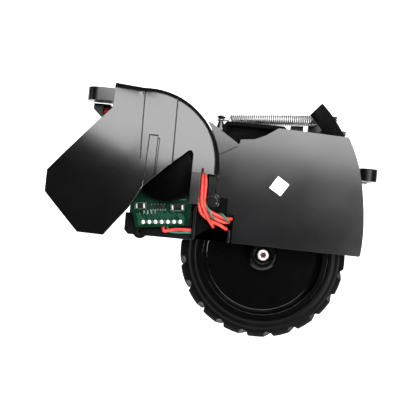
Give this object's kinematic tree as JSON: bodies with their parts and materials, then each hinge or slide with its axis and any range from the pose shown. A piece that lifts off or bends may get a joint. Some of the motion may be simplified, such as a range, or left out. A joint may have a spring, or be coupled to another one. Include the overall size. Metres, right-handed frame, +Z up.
{
  "type": "robot vacuum drive wheel module",
  "caption": "Drive module with a geared electric motor, lugged rubber wheel, swinging spring-loaded arm, fender plate and hooded mounting frame.",
  "frame": {"origin": "middle of the left screw ear's upright bore", "axes": "+Z up along the ear's bore, +X to the right as the wheel's outer side is seen, +Y from the outer side towards the gearbox"},
  "size_m": [0.142, 0.0613, 0.1026],
  "materials": {
    "hood_plastic": "satin moulded black",
    "frame_plastic": "fine moulded texture",
    "arm_plastic": "satin moulded black",
    "cap_plastic": "satin black",
    "hub_plastic": "satin black",
    "gear_plastic": "natural acetal",
    "tyre_rubber": "soft black rubber",
    "bright_steel": "bright drawn wire and ground rod",
    "screw_steel": "dark nickel",
    "can_steel": "zinc plated",
    "iron_core": "laminated iron and enamelled wire",
    "magnet_ferrite": "ground ferrite",
    "brass_parts": "machined",
    "bush_bronze": "sintered",
    "brush_carbon": "pressed carbon",
    "board_green": "lacquered board",
    "solder": "bright solder",
    "component_black": "moulded chip bodies",
    "label_white": "blank paper label",
    "lead_red": "soft wire sleeve"
  },
  "bodies": {
    "frame": {"motor_hood": "hood_plastic", "frame_bracket": "frame_plastic", "pivot_pin_front": "bright_steel", "pivot_shaft_rear": "bright_steel", "shaft_clip": "bright_steel", "frame_screws": "screw_steel", "tension_spring": "bright_steel", "harness_socket": "frame_plastic", "frame_loom": "lead_red"},
    "arm": {"gearbox_shell": "arm_plastic", "gearbox_cover": "arm_plastic", "gearbox_screws": "screw_steel", "first_gear_pin": "bright_steel", "third_gear_pin": "bright_steel", "axle_bearing": "bright_steel", "axle_bush": "bush_bronze", "pivot_bush_front": "bush_bronze", "pivot_bush_inner": "bush_bronze", "pivot_bush_outer": "bush_bronze", "wheel_fender": "arm_plastic", "fender_screws": "screw_steel", "motor_can": "can_steel", "motor_magnets": "magnet_ferrite", "motor_end_bell": "cap_plastic", "motor_brushes": "brush_carbon", "motor_terminals": "brass_parts", "motor_screws": "screw_steel", "encoder_cap": "cap_plastic", "encoder_board": "board_green", "solder_pads": "solder", "board_components": "component_black", "blank_label": "label_white", "upper_lead": "lead_red", "lower_lead": "lead_red", "board_lead": "lead_red"},
    "wheel": {"tyre": "tyre_rubber", "wheel_hub": "hub_plastic", "wheel_axle": "bright_steel", "axle_screw": "screw_steel", "output_gear": "gear_plastic"},
    "rotor": {"armature": "iron_core", "commutator": "brass_parts", "motor_shaft": "bright_steel", "motor_pinion": "brass_parts", "encoder_magnet": "magnet_ferrite"},
    "first_gear_body": {"first_gear": "gear_plastic"},
    "second_gear_body": {"second_gear": "gear_plastic"},
    "third_gear_body": {"third_gear": "gear_plastic"}
  },
  "joints": [
    {"name": "suspension", "type": "hinge", "parent": "frame", "child": "arm", "pos_m": [0.053, 0, -0.0415], "axis": [0, -1, 0], "range_deg": [0, 26], "stiffness_Nm_per_rad": 0.58, "springref_deg": -40.11, "deforming": ["tension_spring"]},
    {"name": "wheel_spin", "type": "hinge", "parent": "arm", "child": "wheel", "pos_m": [0.0766, 0, -0.0621], "axis": [0, -1, 0], "continuous": true},
    {"name": "third_gear_spin", "type": "hinge", "parent": "arm", "child": "third_gear_body", "pos_m": [0.06718, 0, -0.04537], "axis": [0, -1, 0], "continuous": true},
    {"name": "second_gear_spin", "type": "hinge", "parent": "arm", "child": "second_gear_body", "pos_m": [0.053, 0, -0.0415], "axis": [0, -1, 0], "continuous": true},
    {"name": "first_gear_spin", "type": "hinge", "parent": "arm", "child": "first_gear_body", "pos_m": [0.04289, 0, -0.03125], "axis": [0, -1, 0], "continuous": true},
    {"name": "rotor_spin", "type": "hinge", "parent": "arm", "child": "rotor", "pos_m": [0.0309, 0, -0.0318], "axis": [0, -1, 0], "continuous": true}
  ],
  "couplings": [
    {"joint": "third_gear_spin", "follows": "wheel_spin", "ratio": -2.6923},
    {"joint": "second_gear_spin", "follows": "wheel_spin", "ratio": 5.3846},
    {"joint": "first_gear_spin", "follows": "wheel_spin", "ratio": -16.154},
    {"joint": "rotor_spin", "follows": "wheel_spin", "ratio": 48.462}
  ]
}
